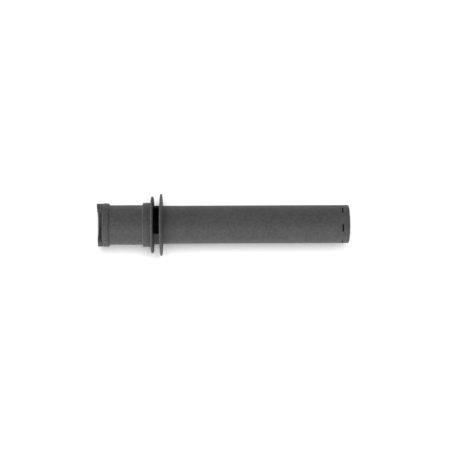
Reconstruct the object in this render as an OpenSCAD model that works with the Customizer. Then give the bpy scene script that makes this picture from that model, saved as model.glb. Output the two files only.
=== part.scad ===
// Throttle tube for a motorcycle twist grip: a hollow tube that turns on the handlebar.
// X runs along the handlebar and points outboard, Z points up, and the origin is on the
// axis at the outboard face of the outer flange, where the rubber grip stops.
// Angles round the axis are measured from +Z towards +Y.
// The inboard end, in order towards the grip: drive collar, end land, barrel, shoulder
// land, inner flange, neck with its stop window, and outer flange. Each turned section
// plugs into the next one with a short spigot, or with a foot wider than itself, and all
// of them turn together on the liner, which stays still on the bar.

/* [Bore and liner] */
// Radius of the tube's running bore
bore_r = 11.6; // [11.5:0.05:11.7]
// Radial running gap between the tube and the liner
running_gap = 0.05; // [0.02:0.01:0.08]
// Inner radius of the liner, a hand push on a 22.2 mm handlebar
liner_r = 11.15; // [11.12:0.01:11.2]
// Radius of the lips that keep the liner in, clear of the handlebar
lip_r = 11.3; // [11.25:0.01:11.4]

/* [Drive end] */
// Length of the drive collar
collar_l = 4.8; // [4:0.1:6]
// Radius of the drive collar
collar_r = 14.35; // [13.8:0.05:14.4]
// Thickness of the collar that is left behind the notch
notch_floor = 0.5; // [0.4:0.1:1]
// Angle where the drive notch starts
notch_from = -50.5; // [-60:0.5:-30]
// Angle where the drive notch ends
notch_to = 47; // [30:0.5:60]
// Length of the end land
land_l = 3.8; // [3.2:0.1:6]
// Radius of the end land
land_r = 14.5; // [14.1:0.1:15]

/* [Barrel] */
// Length of the barrel between the lands
barrel_l = 22.2; // [15:0.1:40]
// Radius of the barrel
barrel_r = 13.2; // [12.9:0.05:13.5]
// Length of the shoulder land
shoulder_l = 5.45; // [4:0.05:8]
// Radius of the shoulder land
shoulder_r = 14.7; // [14.2:0.1:15.5]

/* [Flanges and neck] */
// Thickness of the inner flange
inner_t = 1.7; // [1.5:0.1:3]
// Radius of the inner flange
inner_r = 18.95; // [17:0.05:20]
// Length of the neck between the flanges
neck_l = 4.1; // [3:0.1:6]
// Radius of the neck
neck_r = 13.05; // [12.8:0.05:13.4]
// Angle where the stop window starts
window_from = -29; // [-40:0.5:0]
// Angle where the stop window ends
window_to = 100; // [70:0.5:110]
// Thickness of the outer flange at its foot
outer_t = 1.9; // [1.7:0.1:3]
// Radius of the outer flange
outer_r = 20.7; // [19:0.1:22]

/* [Grip sleeve] */
// Length of the grip sleeve
grip_l = 124; // [100:1:140]
// Radius of the grip sleeve
grip_r = 12.7; // [12.6:0.05:12.9]
// Number of slots round the outboard end
slot_count = 6; // [3:1:8]
// Arc of one slot in degrees
slot_arc = 24; // [10:1:30]
// Width of a slot
slot_w = 0.9; // [0.6:0.1:1.5]
// Distance from the outboard end to the middle of the slots
slot_in = 4.6; // [3:0.1:6]
// Angle of the first slot
slot_at = -12; // [-30:1:30]

/* [Hidden] */
$fn = 96;

// joints between the sections
seat_r = 12.2;         // radius of a spigot
seat_l = 0.6;          // depth of every spigot and foot
foot_step = 0.3;       // how far a foot stands out from its own section

// edges
seam = 0.25;           // bevel on both sides of the seam between collar and end land
land_bevel = 0.6;
shoulder_bevel = 0.5;
grip_bevel = 0.6;
collar_bevel = 0.4;
barrel_fillet = 0.8;   // concave corner where the barrel meets the shoulder land
rim_t = 1.4;           // thickness of the outer flange at its rim
rim_blend = 3.4;       // radial height over which the outer flange thins to rim_t

// the collar's rim is faced off at a slant, lowest beside the notch
facing_depth = 0.4;    // on the axis
facing_tilt = 5.3;     // towards the notch
facing_yaw = 1.6;      // towards the notch's start angle

// retaining ring inside the outboard end
retainer_l = 6;
retainer_r = 11.9;     // seat of the retaining ring, a counterbore in the sleeve
retainer_inset = 0.5;  // from the sleeve's end to the ring's end
tab_gap = 0.05;        // all round each tab in its slot
tab_recess = 0.5;      // from the sleeve's surface down to the face of a tab

lip_l = 1.2;
end_float = 0.1;       // axial gap at each end of the liner
pin_gap = 3;           // degrees by which the liner's window is wider than the tube's
past = 1;              // how far a cutting tool runs past the solid

// stations along X, inboard to outboard
outer_x = -outer_t;
neck_x = outer_x - neck_l;
inner_x = neck_x - inner_t;
shoulder_x = inner_x - shoulder_l;
barrel_x = shoulder_x - barrel_l;
land_x = barrel_x - land_l;
collar_x = land_x - collar_l;
lip_x = land_x + seat_l;
retainer_x = grip_l - retainer_inset - retainer_l;
slot_x = grip_l - slot_in;

nylon = [0.33, 0.33, 0.33];
black_plastic = [0.05, 0.05, 0.05];

// ---- building blocks ----

// Turns a flat outline, given as [radius, distance along X from x0], about the X axis.
module turned(x0) {
    translate([x0, 0, 0]) rotate([0, 90, 0]) rotate_extrude() children();
}

// A sector about the X axis between two angles, from x0 to x1 and from r0 to r1.
module sector(x0, x1, from, to, r0, r1) {
    translate([x0, 0, 0]) rotate([0, 90, 0]) rotate([0, 0, 180 - to])
        rotate_extrude(angle = to - from) translate([r0, 0]) square([r1 - r0, x1 - x0]);
}

// Outline of a section from the bore out to radius r, with a bevel on each outer edge.
module wall(r, l, bevels) {
    polygon([
        [bore_r, 0], [r - bevels[0], 0], [r, bevels[0]],
        [r, l - bevels[1]], [r - bevels[1], l], [bore_r, l]
    ]);
}

// Outline of the end that plugs into a neighbour, out to radius r, from distance x.
module spigot(x, r = seat_r) {
    translate([bore_r, x]) square([r - bore_r, seat_l]);
}

// Outline cut out of a section to take a spigot of radius r, from distance x.
module socket(x, r = seat_r) {
    translate([bore_r - past, x]) square([r - bore_r + past, seat_l]);
}

// Outline of a concave corner of radius f, on radius r, ending at distance x.
module fillet(r, x, f) {
    difference() {
        translate([r, x - f]) square(f);
        translate([r + f, x - f]) circle(f);
    }
}

// ---- sub-parts ----

// Low-friction sleeve that is pushed on the handlebar; the tube turns on it. Its window
// lets the housing's stop pin through to the bar.
module bar_liner() {
    x0 = lip_x + lip_l + end_float;
    color(black_plastic) difference() {
        turned(x0) translate([liner_r, 0])
            square([bore_r - running_gap - liner_r, retainer_x - end_float - x0]);
        sector(neck_x, outer_x, window_from - pin_gap, window_to + pin_gap,
            liner_r - past, bore_r);
    }
}

// Skirt at the inboard end, notched on one side for the twist sensor's drive tongue.
module drive_collar() {
    reach = 2 * collar_r;
    color(nylon) {
        difference() {
            turned(collar_x) wall(collar_r, collar_l, [collar_bevel, seam]);
            sector(collar_x - past, land_x - notch_floor, notch_from, notch_to,
                bore_r - past, collar_r + past);
            translate([collar_x + facing_depth, 0, 0]) rotate([0, facing_tilt, facing_yaw])
                translate([-reach, -reach, -reach]) cube([reach, 2 * reach, 2 * reach]);
        }
        turned(collar_x) spigot(collar_l);
    }
}

// Bearing land that runs in the sensor housing; its inner lip keeps the liner in.
module end_land() {
    color(nylon) turned(land_x) {
        difference() {
            wall(land_r, land_l, [seam, land_bevel]);
            socket(0);
            socket(land_l - seat_l);
        }
        translate([lip_r, seat_l]) square([seat_r - lip_r, lip_l]);
    }
}

// Plain waist between the two lands.
module barrel() {
    color(nylon) turned(barrel_x) {
        wall(barrel_r, barrel_l, [0, 0]);
        fillet(barrel_r, barrel_l, barrel_fillet);
        spigot(-seat_l);
        spigot(barrel_l);
    }
}

// Second bearing land; its foot is let into the inner flange.
module shoulder_land() {
    color(nylon) turned(shoulder_x) {
        difference() {
            wall(shoulder_r, shoulder_l, [shoulder_bevel, 0]);
            socket(0);
        }
        spigot(shoulder_l, shoulder_r + foot_step);
    }
}

// Thin disc with a round rim that locates the tube in the switch housing.
module inner_flange() {
    color(nylon) turned(inner_x) {
        difference() {
            wall(inner_r - inner_t / 2, inner_t, [0, 0]);
            socket(0, shoulder_r + foot_step);
            socket(inner_t - seat_l);
        }
        translate([inner_r - inner_t / 2, inner_t / 2]) circle(inner_t / 2);
    }
}

// Neck between the flanges, cut open by the window that the housing's stop pin runs in.
module stop_neck() {
    color(nylon) {
        difference() {
            turned(neck_x) wall(neck_r, neck_l, [0, 0]);
            sector(neck_x - past, outer_x + past, window_from, window_to,
                bore_r - past, neck_r + past);
        }
        turned(neck_x) {
            spigot(-seat_l);
            spigot(neck_l);
        }
    }
}

// Larger disc, thicker at its foot, that the rubber grip stops against.
module outer_flange() {
    rim_r = outer_r - rim_t / 2;
    foot_r = rim_r - rim_blend;
    taper = (outer_t - rim_t) / 2;
    color(nylon) turned(outer_x) {
        difference() {
            polygon([
                [bore_r, 0], [foot_r, 0], [rim_r, taper],
                [rim_r, outer_t - taper], [foot_r, outer_t], [bore_r, outer_t]
            ]);
            socket(0);
            socket(outer_t - seat_l, grip_r + foot_step);
        }
        translate([rim_r, outer_t / 2]) circle(rim_t / 2);
    }
}

// Long sleeve that carries the rubber grip, slotted near its outboard end. Its foot is
// let into the outer flange.
module grip_sleeve() {
    color(nylon) difference() {
        turned(0) {
            difference() {
                wall(grip_r, grip_l, [0, grip_bevel]);
                translate([bore_r - past, retainer_x])
                    square([retainer_r - bore_r + past, grip_l - retainer_x + past]);
            }
            spigot(-seat_l, grip_r + foot_step);
        }
        for (i = [0 : slot_count - 1]) {
            mid = slot_at + i * 360 / slot_count;
            sector(slot_x - slot_w / 2, slot_x + slot_w / 2,
                mid - slot_arc / 2, mid + slot_arc / 2, bore_r, grip_r + past);
        }
    }
}

// Ring in the outboard end that keeps the liner in; its tabs snap into the slots.
module end_retainer() {
    tab_trim = asin(tab_gap / grip_r);
    color(black_plastic) {
        turned(retainer_x) translate([lip_r, 0]) square([retainer_r - lip_r, retainer_l]);
        for (i = [0 : slot_count - 1]) {
            mid = slot_at + i * 360 / slot_count;
            sector(slot_x - slot_w / 2 + tab_gap, slot_x + slot_w / 2 - tab_gap,
                mid - slot_arc / 2 + tab_trim, mid + slot_arc / 2 - tab_trim,
                lip_r, grip_r - tab_recess);
        }
    }
}

bar_liner();
drive_collar();
end_land();
barrel();
shoulder_land();
inner_flange();
stop_neck();
outer_flange();
grip_sleeve();
end_retainer();
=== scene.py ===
"""Throttle tube on a white studio floor, seen from above.

The tube's lengths are in millimetres until a mesh is made, and the studio's are in metres. X runs
outboard along the handlebar, and angles round it are measured from +Z towards +Y, both as in the
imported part.
"""

import math
from collections import Counter

import bmesh
import bpy
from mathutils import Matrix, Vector


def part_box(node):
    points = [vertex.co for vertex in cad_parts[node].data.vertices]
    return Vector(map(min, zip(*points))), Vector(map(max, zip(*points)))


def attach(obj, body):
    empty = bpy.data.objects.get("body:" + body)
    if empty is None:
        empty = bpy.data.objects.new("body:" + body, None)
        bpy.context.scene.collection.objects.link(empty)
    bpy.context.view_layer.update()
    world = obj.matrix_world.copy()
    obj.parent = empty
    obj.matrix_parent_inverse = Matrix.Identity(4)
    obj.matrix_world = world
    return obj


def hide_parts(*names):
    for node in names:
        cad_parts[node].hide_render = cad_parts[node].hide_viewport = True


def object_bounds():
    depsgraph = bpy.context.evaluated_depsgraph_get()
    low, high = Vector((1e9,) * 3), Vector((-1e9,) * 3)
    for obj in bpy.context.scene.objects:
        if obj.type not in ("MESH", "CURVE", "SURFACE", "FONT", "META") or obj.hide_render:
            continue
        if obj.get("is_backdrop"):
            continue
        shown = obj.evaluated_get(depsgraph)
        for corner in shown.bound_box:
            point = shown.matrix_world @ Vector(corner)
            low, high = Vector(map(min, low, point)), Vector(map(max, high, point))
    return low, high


MM = 0.001

# ---- the tube, in millimetres and degrees ----
BORE_R = 11.6
SEAT_R = 12.2          # spigots and the sockets that take them
SEAT_L = 0.6
FOOT_STEP = 0.3        # how far a foot stands out from its own section
LIP_R = 11.3
LIP_L = 1.2
BARREL_R = 13.2
BARREL_FILLET = 0.8
NECK_R = 13.05
LAND_BEVEL = 0.6
SHOULDER_BEVEL = 0.5
RIM_T = 1.4            # outer flange, at its rim
RIM_BLEND = 3.4        # width of the slope by which it thins towards its rim
COUNTERBORE_R = 11.9
GRIP_BEVEL = 0.6

NOTCH = (-50.5, 47.0)  # from one side to the other, round the axis
NOTCH_FLOOR = 0.5      # from its floor to the outboard end of the collar
NOTCH_DRAFT = 0.1      # how far its sides close in towards the floor
HORN_ROUND = 0.35      # corners at the mouth of the notch
SEAM_ROUND = 0.3       # edges on both sides of the seam between collar and end land
SEAM_HIGHLIGHT = 2.5      # strength of the painted highlight on the land's edge there, against 1 on other edges
FACING_DEPTH = 0.4     # depth of the slanted facing of the collar's rim, on the axis
FACING_TILT = 5.3
FACING_YAW = 1.6
WINDOW = (-29.0, 100.0)

SLOT_COUNT = 6
SLOT_ARC = 24.0
SLOT_W = 0.9
SLOT_IN = 4.6          # from the middle of the slots to the end of the sleeve
SLOT_AT = -12.0        # middle of the first slot

# ---- how finely it is made ----
SOFT = 0.2             # radius of an ordinary moulded edge
CRISP = 0.12           # radius of the edges of lip, counterbore and slots
STEPS_ROUND = 240      # 1.5 degrees apart, so the ends of window and slots land on steps
ARC_STEPS = 5          # on a rounded corner
SLOT_ARC_STEPS = 2     # on the edge of a slot
LONGEST_SPAN = 1.5     # between two points of an outline, unless its corners say otherwise
MOST_OF_SIDE = 0.49    # the most of a side that the arc at one of its ends takes
FACES_INBOARD = -0.1   # a part of an arc whose direction has a lower x than this gets the painted highlight
SHARP_ANGLE = 38.0     # faces that meet at more than this keep a crease
NEAR = 0.01            # two lengths that differ by less are the same

# ---- materials ----
NOISE_SPAN = (0.3, 0.7)        # most of a noise lies between these

NYLON_GREY = 0.0635            # mean base colour
COLLAR_GREY = 0.044            # the drive collar is a shade darker than the rest of the tube
# a noise's name, scale, detail and roughness, and the least and most it multiplies the grey by
NYLON_NOISES = (
    ("mottle", 520, 4, 0.6, 0.79, 1.2),
    ("cloud", 75, 2, 0.5, 0.93, 1.07),
    ("grain", 5200, 3, 0.65, 0.74, 1.26),
    ("specks", 2300, 2, 0.5, 0.8, 1.22),
)
NYLON_ROUGH = (0.62, 0.78)
NYLON_GLOSS = 0.35             # specular level
GRAIN_HEIGHT = 0.6             # what the grain and the specks give to the bumps
SPECK_HEIGHT = 0.7
HIGHLIGHT_LIFT = (0.3, 0.6)            # how much lighter the painted highlight makes an edge, in patches
PATCHES = (0.35, 0.65)         # span of the mottle that makes the patches

# CAD node, name of its material, base colour, roughness, specular level. The near-black bases are
# painted shade: the dark of the bore behind the window and of the slots.
BLACK_PARTS = (
    ("bar_liner", "liner_painted_shade", 0.014, 0.45, 0.2),
    ("end_retainer", "retainer_painted_shade", 0.004, 0.7, 0.03),
)
DUSTY = (0.75, 1.5)            # what dust multiplies the black by
DUST_SPAN = (0.35, 0.75)
ROUGH_LINES = (-0.06, 0.08)    # what turning lines add to the roughness

FLOOR_WHITE = (0.93, 0.95)

# ---- studio, in metres and degrees ----
FLOOR_SIZE = 6.0
AIM_X = 0.0432             # the camera looks at (AIM_X, AIM_Y, 0)
AIM_Y = -0.00196
CAMERA_HEIGHT = 0.937
CAMERA_ASIDE = -0.0065     # the camera stands a little inboard of the point it looks at
CAMERA_ROLL = -0.25
CAMERA_LENS = 111.19       # in millimetres, as the sensor
CAMERA_SENSOR = 36.0
CAMERA_CLIP = (0.01, 20.0)
WORLD_STRENGTH = 0.45
# name, what it lights, place relative to the point (AIM_X, 0, 0) that it faces, size, watts
LIGHTS = (
    ("overhead", "floor", (0.0, 0.26, 1.08), (0.45, 0.45), 8.0),
    ("overhead_wide", "floor", (0.0, 0.0, 1.1), (1.2, 1.2), 8.5),
    ("front", "tube", (0.0, -0.75, 0.75), (2.0, 0.5), 11.0),
    ("front_left", "tube", (-0.6, -0.6, 0.75), (0.6, 0.6), 1.9),
    ("left", "tube", (-1.0, 0.0, 0.18), (0.5, 0.3), 1.8),
    ("back", "tube", (0.0, 0.95, 0.12), (1.2, 0.25), 1.6),
    ("back_left", "tube", (-0.7, 0.6, 0.5), (0.6, 0.5), 0.9),
)


# ---------------------------------------------------------------- outlines

def quarter(steps):
    """Angles from 0 to a quarter turn, in radians."""
    return [math.pi / 2 * i / steps for i in range(steps + 1)]


def rounded(before, at, after, radius, highlight):
    """The arc that rounds a corner of an outline, as (x, r, painted highlight).

    Where the arc faces inboard, towards the lamps on that side, it carries a painted highlight as
    strong as its last argument says.
    """
    ax, ar = before[0] - at[0], before[1] - at[1]
    bx, br = after[0] - at[0], after[1] - at[1]
    a_length, b_length = math.hypot(ax, ar), math.hypot(bx, br)
    ax, ar, bx, br = ax / a_length, ar / a_length, bx / b_length, br / b_length
    half = math.acos(max(-1.0, min(1.0, ax * bx + ar * br))) / 2
    reach = min(radius / math.tan(half), MOST_OF_SIDE * a_length, MOST_OF_SIDE * b_length)
    radius = reach * math.tan(half)
    to_centre = radius / math.sin(half) / math.hypot(ax + bx, ar + br)
    centre_x, centre_r = at[0] + (ax + bx) * to_centre, at[1] + (ar + br) * to_centre
    start = math.atan2(at[1] + ar * reach - centre_r, at[0] + ax * reach - centre_x)
    end = math.atan2(at[1] + br * reach - centre_r, at[0] + bx * reach - centre_x)
    turn = (end - start + math.pi) % (2 * math.pi) - math.pi
    points = []
    for i in range(ARC_STEPS + 1):
        angle = start + turn * i / ARC_STEPS
        out_x, out_r = math.cos(angle), math.sin(angle)
        # painted highlight on the parts of the arc that face inboard, towards the lamps on that
        # side
        edge_highlight = highlight if out_x < FACES_INBOARD else 0.0
        points.append((centre_x + radius * out_x, centre_r + radius * out_r, edge_highlight))
    return points


def outline(corners):
    """A closed outline as (x, r, highlight level), from corners as (x, r, radius, parts,
    highlight).

    radius rounds the corner, parts is the number of steps from it to the next corner, and the last
    is how strong the painted highlight on the corner is. The last three may be left out.
    """
    left_out = (0.0, None, 1.0)
    stretches = []
    for i, given in enumerate(corners):
        radius, parts, highlight = (*given[2:], *left_out[len(given) - 2:])
        if radius > 0:
            after = corners[(i + 1) % len(corners)]
            points = rounded(corners[i - 1], given, after, radius, highlight)
        else:
            points = [(given[0], given[1], 0.0)]
        stretches.append((points, parts))
    full = []
    for i, (points, parts) in enumerate(stretches):
        full += points
        x, r, _ = points[-1]
        next_x, next_r, _ = stretches[(i + 1) % len(stretches)][0][0]
        if parts is None:
            parts = math.ceil(math.hypot(next_x - x, next_r - r) / LONGEST_SPAN)
        for k in range(1, parts):
            share = k / parts
            full.append((x + (next_x - x) * share, r + (next_r - r) * share, 0.0))
    return full


# ---------------------------------------------------------------- meshes

def sweep(sections):
    """A ring about the X axis, from sections given as (angle in degrees, outline)."""
    bm = bmesh.new()
    edge_highlight = bm.verts.layers.float.new("edge_highlight")
    loops = []
    for angle, points in sections:
        a = math.radians(angle)
        loop = []
        for x, r, highlight_level in points:
            vert = bm.verts.new((x * MM, r * math.sin(a) * MM, r * math.cos(a) * MM))
            vert[edge_highlight] = highlight_level
            loop.append(vert)
        loops.append(loop)
    for i, here in enumerate(loops):
        there = loops[(i + 1) % len(loops)]
        for k in range(len(here)):
            m = (k + 1) % len(here)
            bm.faces.new((here[k], here[m], there[m], there[k]))
    bmesh.ops.recalc_face_normals(bm, faces=bm.faces)
    return bm


def full_ring(corners, start=0.0):
    """A ring of one outline all the way round, with its first step at the start angle."""
    points = outline(corners)
    return sweep([(start + 360 * i / STEPS_ROUND, points) for i in range(STEPS_ROUND)])


def middle(face):
    """Where the middle of a face is, as (x in millimetres, angle in degrees)."""
    at = face.calc_center_median()
    return at.x / MM, math.degrees(math.atan2(at.y, at.z))


def lies_at(edge, r):
    """Whether both ends of an edge are r from the X axis."""
    return all(abs(math.hypot(v.co.y, v.co.z) / MM - r) < NEAR for v in edge.verts)


def cut_through(bm, faces, r):
    """Opens a ring's wall where these faces of its two sides are.

    Returns the edges of the opening that are r from the X axis.
    """
    uses = Counter(edge for face in faces for edge in face.edges)
    rims = [edge for edge, count in uses.items() if count == 1]
    bmesh.ops.delete(bm, geom=faces, context="FACES")
    bmesh.ops.bridge_loops(bm, edges=rims)
    return [edge for edge in rims if lies_at(edge, r)]


def soften(bm, edges, radius, segments):
    """Rounds sharp edges of a finished ring."""
    bmesh.ops.bevel(bm, geom=edges, offset=radius * MM, segments=segments, profile=0.5,
                    affect="EDGES", clamp_overlap=True)
    bmesh.ops.recalc_face_normals(bm, faces=bm.faces)


def make_mesh(name, bm):
    """Turns a bmesh into a mesh with smooth faces and sharp creases."""
    mesh = bpy.data.meshes.new(name)
    bm.to_mesh(mesh)
    bm.free()
    mesh.polygons.foreach_set("use_smooth", [True] * len(mesh.polygons))
    mesh.set_sharp_from_angle(angle=math.radians(SHARP_ANGLE))
    return mesh


def link(name, data):
    """Adds an object with this data to the scene."""
    obj = bpy.data.objects.new(name, data)
    bpy.context.scene.collection.objects.link(obj)
    return obj


def finish_piece(node, bm, material):
    """Makes a piece of the tube and puts it in the place of its CAD node."""
    obj = link(node + "_skin", make_mesh(node + "_skin", bm))
    obj.data.materials.append(material)
    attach(obj, "throttle_tube")
    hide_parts(node)


# ---------------------------------------------------------------- materials

def shader_node(tree, kind, where, **sockets):
    """Adds a shader node with these input values."""
    node = tree.nodes.new(kind)
    node.location = where
    for key, value in sockets.items():
        node.inputs[key.replace("_", " ")].default_value = value
    return node


def noise(tree, place, scale, detail, rough, where):
    """A noise texture over the object's own coordinates, with its scale per metre."""
    node = shader_node(tree, "ShaderNodeTexNoise", where, Scale=scale, Detail=detail,
                       Roughness=rough)
    tree.links.new(place, node.inputs["Vector"])
    return node.outputs["Fac"]


def ranged(tree, value, to, where, span=NOISE_SPAN):
    """Maps a span of a noise to another range, clamped."""
    node = shader_node(tree, "ShaderNodeMapRange", where, From_Min=span[0], From_Max=span[1],
                       To_Min=to[0], To_Max=to[1])
    tree.links.new(value, node.inputs["Value"])
    return node.outputs["Result"]


def maths(tree, operation, a, b, where):
    """A maths node on two outputs or numbers."""
    node = tree.nodes.new("ShaderNodeMath")
    node.operation = operation
    node.location = where
    for socket, value in zip(node.inputs, (a, b)):
        if isinstance(value, (int, float)):
            socket.default_value = value
        else:
            tree.links.new(value, socket)
    return node.outputs["Value"]


def colour_by(tree, level, shader):
    """Gives the shader a grey base colour of a varying level."""
    node = shader_node(tree, "ShaderNodeCombineColor", (-300, 200))
    for channel in node.inputs:
        tree.links.new(level, channel)
    tree.links.new(node.outputs["Color"], shader.inputs["Base Color"])


def bump_by(tree, height, shader, strength, distance):
    """Bends the shader's normal by a height, with the distance in millimetres."""
    bump = shader_node(tree, "ShaderNodeBump", (-300, -400), Strength=strength,
                       Distance=distance * MM)
    tree.links.new(height, bump.inputs["Height"])
    tree.links.new(bump.outputs["Normal"], shader.inputs["Normal"])


def new_material(name, gloss):
    """A material with this specular level, its tree, its shader and the object's coordinates."""
    material = bpy.data.materials.new(name)
    material.use_nodes = True
    tree = material.node_tree
    shader = tree.nodes["Principled BSDF"]
    shader.inputs["Specular IOR Level"].default_value = gloss
    place = shader_node(tree, "ShaderNodeTexCoord", (-1800, 0)).outputs["Object"]
    return material, tree, shader, place


def sandy_nylon(name, grey):
    """Dark grey nylon with a fine sandy grain, faint mottling and a patchy painted highlight on its
    inboard-facing edges.
    """
    material, tree, shader, place = new_material(name, NYLON_GLOSS)
    noises = {}
    tone = grey
    for row, (key, scale, detail, rough, least, most) in enumerate(NYLON_NOISES):
        y = 300 - 200 * row
        noises[key] = noise(tree, place, scale, detail, rough, (-1500, y))
        spread = ranged(tree, noises[key], (least, most), (-1200, y))
        tone = maths(tree, "MULTIPLY", tone, spread, (-1000 + 100 * row, y))

    # painted highlight: the edges marked in the mesh are made lighter, in patches
    edge_highlight = shader_node(tree, "ShaderNodeAttribute", (-1500, 700))
    edge_highlight.attribute_name = "edge_highlight"
    patchy = ranged(tree, noises["mottle"], HIGHLIGHT_LIFT, (-1200, 500), span=PATCHES)
    lighten = maths(tree, "MULTIPLY", edge_highlight.outputs["Fac"], patchy, (-900, 600))
    lighten = maths(tree, "ADD", lighten, 1.0, (-700, 500))
    colour_by(tree, maths(tree, "MULTIPLY", tone, lighten, (-500, 300)), shader)

    rough = ranged(tree, noises["specks"], NYLON_ROUGH, (-700, -200))
    tree.links.new(rough, shader.inputs["Roughness"])
    grain = maths(tree, "MULTIPLY", noises["grain"], GRAIN_HEIGHT, (-900, -450))
    specks = maths(tree, "MULTIPLY", noises["specks"], SPECK_HEIGHT, (-900, -600))
    height = maths(tree, "ADD", grain, specks, (-700, -500))
    bump_by(tree, height, shader, strength=0.55, distance=0.06)
    return material


def smooth_black(name, base, rough, gloss):
    """Smooth low-friction plastic, near-black as painted shade where it shows through the window
    and the slots, with faint turning lines round the axis.
    """
    material, tree, shader, place = new_material(name, gloss)
    split = shader_node(tree, "ShaderNodeSeparateXYZ", (-1500, 0))
    tree.links.new(place, split.inputs["Vector"])
    along = shader_node(tree, "ShaderNodeCombineXYZ", (-1300, 0))
    tree.links.new(split.outputs["X"], along.inputs["X"])
    lines = noise(tree, along.outputs["Vector"], scale=2600, detail=3, rough=0.6, where=(-1100, 0))
    dust = noise(tree, place, scale=900, detail=3, rough=0.6, where=(-1100, -250))
    tones = [base * share for share in DUSTY]
    colour_by(tree, ranged(tree, dust, tones, (-800, -200), span=DUST_SPAN), shader)
    roughs = [rough + more for more in ROUGH_LINES]
    tree.links.new(ranged(tree, lines, roughs, (-600, -300)), shader.inputs["Roughness"])
    bump_by(tree, lines, shader, strength=0.3, distance=0.03)
    return material


def floor_white():
    """Matt white studio floor with barely visible unevenness."""
    material, tree, shader, place = new_material("floor_white", gloss=0.1)
    cloud = noise(tree, place, scale=3, detail=3, rough=0.5, where=(-1100, 0))
    colour_by(tree, ranged(tree, cloud, FLOOR_WHITE, (-800, 0)), shader)
    shader.inputs["Roughness"].default_value = 0.9
    return material


# ---------------------------------------------------------------- pieces of the tube

def ends(name):
    """(lowest x, highest x, radius) of a CAD node, in millimetres."""
    lo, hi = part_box(name)
    return lo.x / MM, hi.x / MM, max(hi.y, hi.z, -lo.y, -lo.z) / MM


def drive_collar(x0, x1, r):
    """Notched ring; its rim is faced off at a slant, lowest beside the notch."""
    tilt, yaw = math.tan(math.radians(FACING_TILT)), math.tan(math.radians(FACING_YAW))
    floor = x1 - NOTCH_FLOOR

    def rim(angle):
        """Where the slanted rim is."""
        a = math.radians(angle)
        return x0 + max(0.0, FACING_DEPTH + r * (tilt * math.cos(a) - yaw * math.sin(a)))

    def section(left):
        """Its outline from this left end. The steps are given, so that all have as many points."""
        return outline([
            (left, BORE_R, SOFT, 1), (left, r, SOFT, 3), (x1, r, SEAM_ROUND, 1), (x1, SEAT_R, 0, 1),
            (x1 + SEAT_L, SEAT_R, 0, 1), (x1 + SEAT_L, BORE_R, 0, 4),
        ])

    def wall(angle, away):
        """(angle, left end) down the side of the notch at this angle, from the rim to the floor.

        away is the way in which the floor lies from there, 1 or -1.
        """
        top = rim(angle)
        horn = [(HORN_ROUND * (math.sin(a) - 1), top + HORN_ROUND * (1 - math.cos(a)))
                for a in quarter(ARC_STEPS)]
        foot = [(NOTCH_DRAFT + SOFT * (1 - math.cos(a)), floor - SOFT * (1 - math.sin(a)))
                for a in quarter(ARC_STEPS)]
        return [(angle + away * math.degrees(along / r), left) for along, left in horn + foot]

    def between(start, end):
        """Angles of the steps between two angles, without the two."""
        steps = round((end - start) * STEPS_ROUND / 360)
        return [start + (end - start) * i / steps for i in range(1, steps)]

    low, high = NOTCH
    # From the floor up one side, round the rim, down the other side and along the floor.
    up = wall(high, -1)[::-1]
    down = [(360 + angle, left) for angle, left in wall(low, 1)]
    lefts = up + [(angle, rim(angle)) for angle in between(up[-1][0], down[0][0])]
    lefts += down + [(angle, floor) for angle in between(down[-1][0], 360 + up[0][0])]
    return sweep([(angle, section(left)) for angle, left in lefts])


def end_land(x0, x1, r):
    """Bearing land with the lip that keeps the liner in."""
    return full_ring([
        # the land's edge at the seam carries a stronger painted highlight
        (x0, SEAT_R), (x0, r, SEAM_ROUND, None, SEAM_HIGHLIGHT), (x1 - LAND_BEVEL, r, SOFT),
        (x1, r - LAND_BEVEL, SOFT), (x1, SEAT_R), (x1 - SEAT_L, SEAT_R), (x1 - SEAT_L, BORE_R),
        (x0 + SEAT_L + LIP_L, BORE_R), (x0 + SEAT_L + LIP_L, LIP_R, CRISP),
        (x0 + SEAT_L, LIP_R, CRISP), (x0 + SEAT_L, SEAT_R),
    ])


def barrel(x0, x1):
    """Plain waist with a fillet against the shoulder land."""
    arc = [(x1 - BARREL_FILLET * (1 - math.sin(a)), BARREL_R + BARREL_FILLET * (1 - math.cos(a)))
           for a in quarter(2 * ARC_STEPS)]
    return full_ring([
        (x0, SEAT_R), (x0, BARREL_R), *arc, (x1, SEAT_R), (x1 + SEAT_L, SEAT_R),
        (x1 + SEAT_L, BORE_R), (x0 - SEAT_L, BORE_R), (x0 - SEAT_L, SEAT_R),
    ])


def shoulder_land(x0, x1, foot_r):
    """Second bearing land, with its foot let into the inner flange."""
    r = foot_r - FOOT_STEP
    return full_ring([
        (x0, SEAT_R), (x0, r - SHOULDER_BEVEL, SOFT), (x0 + SHOULDER_BEVEL, r, SOFT),
        (x1 - SEAT_L, r), (x1 - SEAT_L, foot_r), (x1, foot_r), (x1, BORE_R),
        (x0 + SEAT_L, BORE_R), (x0 + SEAT_L, SEAT_R),
    ])


def inner_flange(x0, x1, r, foot_r):
    """Thin disc with a round rim."""
    rim = (x1 - x0) * MOST_OF_SIDE
    return full_ring([
        (x0 + SEAT_L, BORE_R), (x0 + SEAT_L, foot_r), (x0, foot_r), (x0, r, rim), (x1, r, rim),
        (x1, SEAT_R), (x1 - SEAT_L, SEAT_R), (x1 - SEAT_L, BORE_R),
    ])


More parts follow.
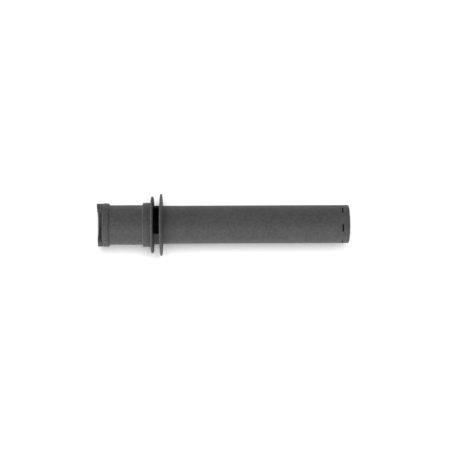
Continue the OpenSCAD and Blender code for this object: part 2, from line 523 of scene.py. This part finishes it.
def stop_neck(x0, x1):
    """Neck between the flanges, open over the stop window, with a spigot at each end."""
    start, end = WINDOW
    # Over the window the outside has 1 + 4 + 1 steps, to be joined to the 6 of the inside.
    bm = full_ring([
        (x0 - SEAT_L, BORE_R), (x0 - SEAT_L, SEAT_R), (x0, SEAT_R, 0, 1), (x0, NECK_R, 0, 4),
        (x1, NECK_R, 0, 1), (x1, SEAT_R), (x1 + SEAT_L, SEAT_R), (x1 + SEAT_L, BORE_R),
        (x1, BORE_R, 0, 6), (x0, BORE_R),
    ], start)
    window = []
    for face in bm.faces:
        x, angle = middle(face)
        if x0 - NEAR < x < x1 + NEAR and start < angle < end:
            window.append(face)
    soften(bm, cut_through(bm, window, NECK_R), SOFT, ARC_STEPS)
    return bm


def outer_flange(x0, x1, r, foot_r):
    """Larger disc that thins towards a round rim."""
    taper = (x1 - x0 - RIM_T) / 2
    rim_r = r - RIM_T / 2
    start_r = rim_r - RIM_BLEND
    rim = RIM_T * MOST_OF_SIDE
    return full_ring([
        (x0 + SEAT_L, BORE_R), (x0 + SEAT_L, SEAT_R), (x0, SEAT_R), (x0, start_r),
        (x0 + taper, rim_r - rim), (x0 + taper, r, rim), (x1 - taper, r, rim),
        (x1 - taper, rim_r - rim), (x1, start_r), (x1, foot_r), (x1 - SEAT_L, foot_r),
        (x1 - SEAT_L, BORE_R),
    ])


def grip_sleeve(x0, x1, foot_r, counterbore_x):
    """Long sleeve with a ring of slots through its wall, each cut between two rows of points."""
    r = foot_r - FOOT_STEP
    slot_x = x1 - SLOT_IN
    low, high = slot_x - SLOT_W / 2, slot_x + SLOT_W / 2
    bm = full_ring([
        (x0, BORE_R), (x0, foot_r), (x0 + SEAT_L, foot_r), (x0 + SEAT_L, r), (low, r), (high, r),
        (x1 - GRIP_BEVEL, r, SOFT), (x1, r - GRIP_BEVEL, SOFT), (x1, COUNTERBORE_R, CRISP),
        (high, COUNTERBORE_R), (low, COUNTERBORE_R), (counterbore_x, COUNTERBORE_R),
        (counterbore_x, BORE_R),
    ])
    pitch = 360 / SLOT_COUNT
    slots = [[] for _ in range(SLOT_COUNT)]
    for face in bm.faces:
        x, angle = middle(face)
        turn = (angle - SLOT_AT) / pitch
        if low < x < high and abs(turn - round(turn)) * pitch < SLOT_ARC / 2:
            slots[round(turn) % SLOT_COUNT].append(face)
    edges = []
    for faces in slots:
        edges += cut_through(bm, faces, r)
    soften(bm, edges, CRISP, SLOT_ARC_STEPS)
    return bm


# ---------------------------------------------------------------- studio

def area_light(name, lit, place, size, watts, floor):
    """A rectangular soft light, which lights only the floor or everything else."""
    data = bpy.data.lights.new(name, "AREA")
    data.shape = "RECTANGLE"
    data.size, data.size_y = size
    data.energy = watts
    light = link(name, data)
    light.location = (AIM_X + place[0], place[1], place[2])
    light.rotation_euler = Vector(-v for v in place).to_track_quat("-Z", "Y").to_euler()
    light.visible_camera = False
    receivers = bpy.data.collections.new(name + "_receivers")
    receivers.objects.link(floor)
    state = "INCLUDE" if lit == "floor" else "EXCLUDE"
    receivers.collection_objects[0].light_linking.link_state = state
    light.light_linking.receiver_collection = receivers


def studio(floor_z):
    """Floor, white surroundings, lights and camera."""
    bm = bmesh.new()
    bmesh.ops.create_grid(bm, x_segments=2, y_segments=2, size=FLOOR_SIZE / 2)
    floor = link("floor", make_mesh("floor", bm))
    floor.data.materials.append(floor_white())
    floor.location = (AIM_X, 0, floor_z)
    floor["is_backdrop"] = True

    scene = bpy.context.scene
    scene.world = bpy.data.worlds.new("studio")
    scene.world.use_nodes = True
    background = scene.world.node_tree.nodes["Background"]
    background.inputs["Color"].default_value = (1, 1, 1, 1)
    background.inputs["Strength"].default_value = WORLD_STRENGTH

    for name, lit, place, size, watts in LIGHTS:
        area_light(name, lit, place, size, watts, floor)

    data = bpy.data.cameras.new("camera")
    data.lens = CAMERA_LENS
    data.sensor_width = CAMERA_SENSOR
    data.clip_start, data.clip_end = CAMERA_CLIP
    scene.camera = link("camera", data)
    scene.camera.location = (AIM_X + CAMERA_ASIDE, AIM_Y, CAMERA_HEIGHT)
    towards_aim = math.atan2(CAMERA_ASIDE, CAMERA_HEIGHT)
    scene.camera.rotation_euler = (0, towards_aim, math.radians(CAMERA_ROLL))
    scene.view_settings.view_transform = "Standard"


# ---------------------------------------------------------------- the scene

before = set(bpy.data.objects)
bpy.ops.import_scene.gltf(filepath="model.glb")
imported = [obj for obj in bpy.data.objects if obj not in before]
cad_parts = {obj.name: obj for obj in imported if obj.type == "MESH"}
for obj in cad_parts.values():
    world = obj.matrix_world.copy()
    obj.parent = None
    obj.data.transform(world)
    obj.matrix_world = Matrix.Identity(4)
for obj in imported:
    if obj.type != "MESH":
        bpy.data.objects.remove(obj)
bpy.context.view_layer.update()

collar_x, _, collar_r = ends("drive_collar")
land_x, barrel_x, land_r = ends("end_land")
shoulder_x, shoulder_end, shoulder_foot = ends("shoulder_land")
inner_x, neck_x, inner_r = ends("inner_flange")
outer_x, outer_end, outer_r = ends("outer_flange")
sleeve_x, sleeve_end, sleeve_foot = ends("grip_sleeve")
retainer_x = ends("end_retainer")[0]

nylon = sandy_nylon("sandy_nylon", NYLON_GREY)
collar_nylon = sandy_nylon("collar_nylon", COLLAR_GREY)
finish_piece("drive_collar", drive_collar(collar_x, land_x, collar_r), collar_nylon)
finish_piece("end_land", end_land(land_x, barrel_x, land_r), nylon)
finish_piece("barrel", barrel(barrel_x, shoulder_x), nylon)
finish_piece("shoulder_land", shoulder_land(shoulder_x, shoulder_end, shoulder_foot), nylon)
finish_piece("inner_flange", inner_flange(inner_x, neck_x, inner_r, shoulder_foot), nylon)
finish_piece("stop_neck", stop_neck(neck_x, outer_x), nylon)
finish_piece("outer_flange", outer_flange(outer_x, outer_end, outer_r, sleeve_foot), nylon)
finish_piece("grip_sleeve", grip_sleeve(sleeve_x, sleeve_end, sleeve_foot, retainer_x), nylon)

# the near-black of these parts is painted shade for the bore behind the window and the slots
for node, name, base, rough, gloss in BLACK_PARTS:
    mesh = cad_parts[node].data
    mesh.materials.clear()
    mesh.materials.append(smooth_black(name, base, rough, gloss))

studio(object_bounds()[0][2])
